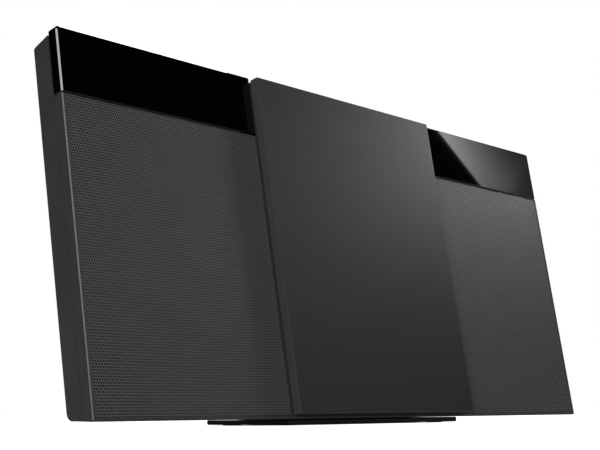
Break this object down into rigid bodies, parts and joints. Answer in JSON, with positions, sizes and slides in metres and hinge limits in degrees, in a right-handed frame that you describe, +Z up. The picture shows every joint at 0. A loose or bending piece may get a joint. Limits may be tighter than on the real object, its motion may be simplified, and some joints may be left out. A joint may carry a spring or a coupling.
{
  "type": "mini hifi system",
  "caption": "Slim leaning mini hifi system with a sliding front door over a disc bay, perforated side grilles, gloss window strips and a flat stand.",
  "frame": {"origin": "middle of the bounding box's bottom, on the table under the stand", "axes": "+Z up, +X to the right seen from the front, the front faces -Y and leans back"},
  "size_m": [0.4, 0.0944, 0.1903],
  "materials": {
    "moulding": "fine textured black moulded plastic",
    "satin": "satin dark graphite coating",
    "gloss": "high gloss black",
    "grille_steel": "dark coated perforated steel",
    "plain_steel": "plain pressed steel",
    "bright_steel": "bright drawn steel",
    "base_metal": "satin black painted metal",
    "nylon": "natural nylon",
    "cone_paper": "black pressed paper",
    "circuit_board": "green solder mask",
    "dark_glass": "dark polished",
    "rubber": "matte"
  },
  "bodies": {
    "cabinet": {"amplifier_board": "circuit_board", "antenna_socket": "gloss", "aux_jack": "gloss", "bay_tray": "moulding", "button_board": "circuit_board", "case_screw_left": "bright_steel", "case_screw_right": "bright_steel", "dc_inlet": "gloss", "disc_chassis": "plain_steel", "display_board": "circuit_board", "display_module": "dark_glass", "door_motor": "bright_steel", "door_rail_lower": "bright_steel", "door_rail_upper": "bright_steel", "driver_frame_left": "plain_steel", "driver_frame_right": "plain_steel", "feed_motor": "bright_steel", "foot_front_left": "rubber", "foot_front_right": "rubber", "foot_rear_left": "rubber", "foot_rear_right": "rubber", "front_frame": "moulding", "grille_left": "grille_steel", "grille_right": "grille_steel", "guide_rod_left": "bright_steel", "guide_rod_right": "bright_steel", "heat_sink": "bright_steel", "main_board": "circuit_board", "mid_cabinet": "moulding", "radiator_frame_left": "plain_steel", "radiator_frame_right": "plain_steel", "rear_cover": "moulding", "spindle_motor": "bright_steel", "stand_base": "base_metal", "stand_neck": "moulding", "usb_port": "bright_steel", "window_left": "gloss", "window_right": "gloss"},
    "door": {"door_panel": "satin", "door_liner": "moulding", "door_shoe_upper": "nylon", "door_shoe_lower": "nylon", "door_rack": "nylon"},
    "pinion": {"door_pinion": "nylon"},
    "disc_turntable": {"turntable": "moulding"},
    "sled": {"pickup_sled": "nylon"},
    "lens": {"pickup_lens": "dark_glass"},
    "feed_screw": {"feed_screw": "bright_steel"},
    "driver_cone_left": {"driver_cone_left": "cone_paper"},
    "radiator_cone_left": {"radiator_cone_left": "cone_paper"},
    "driver_cone_right": {"driver_cone_right": "cone_paper"},
    "radiator_cone_right": {"radiator_cone_right": "cone_paper"},
    "button_power": {"button_power": "satin"},
    "button_source": {"button_source": "satin"},
    "button_previous": {"button_previous": "satin"},
    "button_play": {"button_play": "satin"},
    "button_next": {"button_next": "satin"},
    "button_volume_down": {"button_volume_down": "satin"},
    "button_volume_up": {"button_volume_up": "satin"}
  },
  "joints": [
    {"name": "door_slide", "type": "slide", "parent": "cabinet", "child": "door", "axis": [1, 0, 0], "range_m": [0, 0.125]},
    {"name": "pinion_turn", "type": "hinge", "parent": "cabinet", "child": "pinion", "pos_m": [0.0535, -0.03704, 0.02929], "axis": [0, 0.9844, -0.1759], "range_deg": [-1200, 1200]},
    {"name": "turntable_spin", "type": "hinge", "parent": "cabinet", "child": "disc_turntable", "pos_m": [-0.011, -0.00974, 0.09115], "axis": [0, -0.9844, 0.1759], "continuous": true},
    {"name": "sled_slide", "type": "slide", "parent": "cabinet", "child": "sled", "axis": [0, -0.1759, -0.9844], "range_m": [0, 0.034]},
    {"name": "feed_screw_turn", "type": "hinge", "parent": "cabinet", "child": "feed_screw", "pos_m": [-0.038, -0.01716, 0.01832], "axis": [0, 0.1759, 0.9844], "range_deg": [-4300, 4300]},
    {"name": "lens_focus", "type": "slide", "parent": "sled", "child": "lens", "axis": [0, -0.9844, 0.1759], "range_m": [-0.0002, 0.0006], "stiffness_N_per_m": 60},
    {"name": "driver_cone_slide_left", "type": "slide", "parent": "cabinet", "child": "driver_cone_left", "axis": [0, -0.9844, 0.1759], "range_m": [-0.002, 0.002], "stiffness_N_per_m": 1200},
    {"name": "radiator_slide_left", "type": "slide", "parent": "cabinet", "child": "radiator_cone_left", "axis": [0, -0.9844, 0.1759], "range_m": [-0.002, 0.002], "stiffness_N_per_m": 900},
    {"name": "driver_cone_slide_right", "type": "slide", "parent": "cabinet", "child": "driver_cone_right", "axis": [0, -0.9844, 0.1759], "range_m": [-0.002, 0.002], "stiffness_N_per_m": 1200},
    {"name": "radiator_slide_right", "type": "slide", "parent": "cabinet", "child": "radiator_cone_right", "axis": [0, -0.9844, 0.1759], "range_m": [-0.002, 0.002], "stiffness_N_per_m": 900},
    {"name": "press_power", "type": "slide", "parent": "cabinet", "child": "button_power", "axis": [0, -0.1759, -0.9844], "range_m": [0, 0.0005], "stiffness_N_per_m": 800},
    {"name": "press_source", "type": "slide", "parent": "cabinet", "child": "button_source", "axis": [0, -0.1759, -0.9844], "range_m": [0, 0.0005], "stiffness_N_per_m": 800},
    {"name": "press_previous", "type": "slide", "parent": "cabinet", "child": "button_previous", "axis": [0, -0.1759, -0.9844], "range_m": [0, 0.0005], "stiffness_N_per_m": 800},
    {"name": "press_play", "type": "slide", "parent": "cabinet", "child": "button_play", "axis": [0, -0.1759, -0.9844], "range_m": [0, 0.0005], "stiffness_N_per_m": 800},
    {"name": "press_next", "type": "slide", "parent": "cabinet", "child": "button_next", "axis": [0, -0.1759, -0.9844], "range_m": [0, 0.0005], "stiffness_N_per_m": 800},
    {"name": "press_volume_down", "type": "slide", "parent": "cabinet", "child": "button_volume_down", "axis": [0, -0.1759, -0.9844], "range_m": [0, 0.0005], "stiffness_N_per_m": 800},
    {"name": "press_volume_up", "type": "slide", "parent": "cabinet", "child": "button_volume_up", "axis": [0, -0.1759, -0.9844], "range_m": [0, 0.0005], "stiffness_N_per_m": 800}
  ],
  "couplings": [
    {"joint": "pinion_turn", "follows": "door_slide", "rad_per_m": -156.25},
    {"joint": "feed_screw_turn", "follows": "sled_slide", "rad_per_m": 2094.4}
  ]
}
